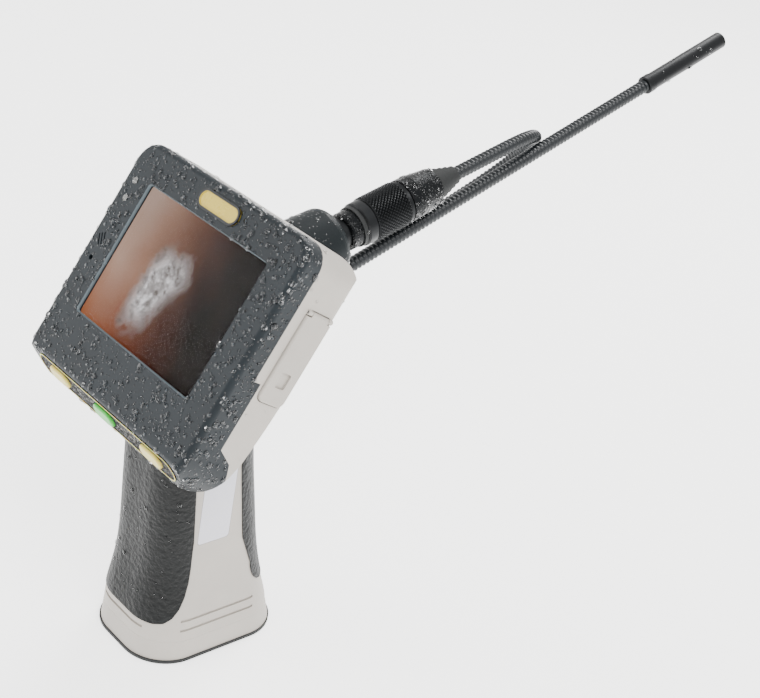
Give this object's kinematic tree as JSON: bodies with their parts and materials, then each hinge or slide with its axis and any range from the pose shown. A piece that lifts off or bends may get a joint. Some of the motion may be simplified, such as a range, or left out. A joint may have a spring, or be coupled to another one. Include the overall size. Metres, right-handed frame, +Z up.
{
  "type": "inspection camera",
  "caption": "Hand-held inspection camera: tilted screen unit on a pistol handle, with a screw-on gooseneck probe ending in a lit camera head.",
  "frame": {"origin": "centre of the underside of the base pad", "axes": "+Z up, +Y forward the way the nose and probe point, +X to the user's right; the screen faces -Y and up"},
  "size_m": [0.1021, 0.3194, 0.2332],
  "materials": {
    "slate_plastic": "fine moulded texture",
    "light_plastic": "fine moulded texture",
    "boss_plastic": "smooth satin",
    "black_plastic": "satin",
    "keypad_plastic": "satin with a pale yellow rim",
    "yellow_key": "satin",
    "green_key": "satin",
    "badge_plate": "gloss",
    "label": "satin film",
    "picture": "lit picture panel",
    "window": "clear",
    "lamp": "clear epoxy",
    "circuit_board": "solder mask",
    "steel": "plated",
    "gold_pins": "gold plated",
    "black_metal": "black anodised",
    "black_rubber": "matt pebbled",
    "light_rubber": "matt",
    "gooseneck_jacket": "ribbed jacket over a steel gooseneck",
    "cell_sleeve": "printed sleeve over a filled cell"
  },
  "bodies": {
    "root": {"front_housing": "slate_plastic", "rear_housing": "light_plastic", "screen_window": "window", "picture_panel": "picture", "panel_frame": "black_plastic", "badge": "badge_plate", "status_lamps": "lamp", "keypad_trim": "keypad_plastic", "keypad_board": "circuit_board", "keypad_switches": "steel", "main_board": "circuit_board", "board_chips": "black_plastic", "card_socket": "steel", "usb_socket": "steel", "video_jack": "black_plastic", "cover_pin": "steel", "unit_screws": "steel", "nose_boss": "boss_plastic", "socket_barrel": "black_metal", "barrel_nut": "steel", "locking_collar": "black_metal", "seal_ring": "black_rubber", "socket_insert": "black_plastic", "socket_pins": "gold_pins", "palm_grip": "black_rubber", "finger_grip": "black_rubber", "handle_left": "light_plastic", "handle_right": "light_plastic", "side_label": "label", "handle_screws": "steel", "battery_cells": "cell_sleeve", "upper_contacts": "steel", "contact_carrier": "black_plastic"},
    "button_left": {"button_left": "yellow_key"},
    "button_centre": {"button_centre": "green_key"},
    "button_right": {"button_right": "yellow_key"},
    "port_cover": {"port_cover": "light_rubber"},
    "battery_door": {"battery_door": "light_plastic", "base_pad": "black_rubber", "door_contacts": "steel"},
    "probe": {"plug_shell": "black_metal", "plug_insert": "black_plastic", "strain_relief": "black_rubber", "gooseneck_root": "gooseneck_jacket"},
    "coupling_nut": {"coupling_nut": "black_metal"},
    "probe_loop": {"gooseneck_loop": "gooseneck_jacket", "gooseneck_bend": "gooseneck_jacket"},
    "probe_run": {"gooseneck_run": "gooseneck_jacket", "gooseneck_tip": "gooseneck_jacket"},
    "camera_end": {"camera_head": "black_metal", "lens_window": "window", "camera_module": "black_plastic", "tip_lamps": "lamp"}
  },
  "joints": [
    {"name": "press_left", "type": "slide", "parent": "root", "child": "button_left", "axis": [0, 0.8926, 0.4508], "range_m": [0, 0.0008], "stiffness_N_per_m": 800, "springref_m": -0.0006},
    {"name": "press_centre", "type": "slide", "parent": "root", "child": "button_centre", "axis": [0, 0.8926, 0.4508], "range_m": [0, 0.0008], "stiffness_N_per_m": 800, "springref_m": -0.0006},
    {"name": "press_right", "type": "slide", "parent": "root", "child": "button_right", "axis": [0, 0.8926, 0.4508], "range_m": [0, 0.0008], "stiffness_N_per_m": 800, "springref_m": -0.0006},
    {"name": "cover_swing", "type": "hinge", "parent": "root", "child": "port_cover", "pos_m": [0.0506, -0.00132, 0.16401], "axis": [0, -0.866, 0.5], "range_deg": [0, 110]},
    {"name": "door_slide", "type": "slide", "parent": "root", "child": "battery_door", "axis": [0, 0, -1], "range_m": [0, 0.06]},
    {"name": "probe_draw", "type": "slide", "parent": "root", "child": "probe", "axis": [0, 0.9563, 0.2924], "range_m": [0, 0.006]},
    {"name": "nut_turn", "type": "hinge", "parent": "probe", "child": "coupling_nut", "pos_m": [0, 0.06913, 0.17093], "axis": [0, 0.9563, 0.2924], "range_deg": [0, 2160]},
    {"name": "root_bend", "type": "hinge", "parent": "probe", "child": "probe_loop", "pos_m": [0, 0.1203, 0.18657], "axis": [1, 0, 0], "range_deg": [0, 15], "deforming": ["gooseneck_root"]},
    {"name": "middle_bend", "type": "hinge", "parent": "probe_loop", "child": "probe_run", "pos_m": [0, 0.1206, 0.17386], "axis": [1, 0, 0], "range_deg": [-60, 0], "deforming": ["gooseneck_bend"]},
    {"name": "tip_bend", "type": "hinge", "parent": "probe_run", "child": "camera_end", "pos_m": [0, 0.19995, 0.20433], "axis": [1, 0, 0], "range_deg": [-75, 75], "deforming": ["gooseneck_tip"]}
  ],
  "couplings": [
    {"joint": "nut_turn", "follows": "probe_draw", "rad_per_m": 6283.2}
  ]
}
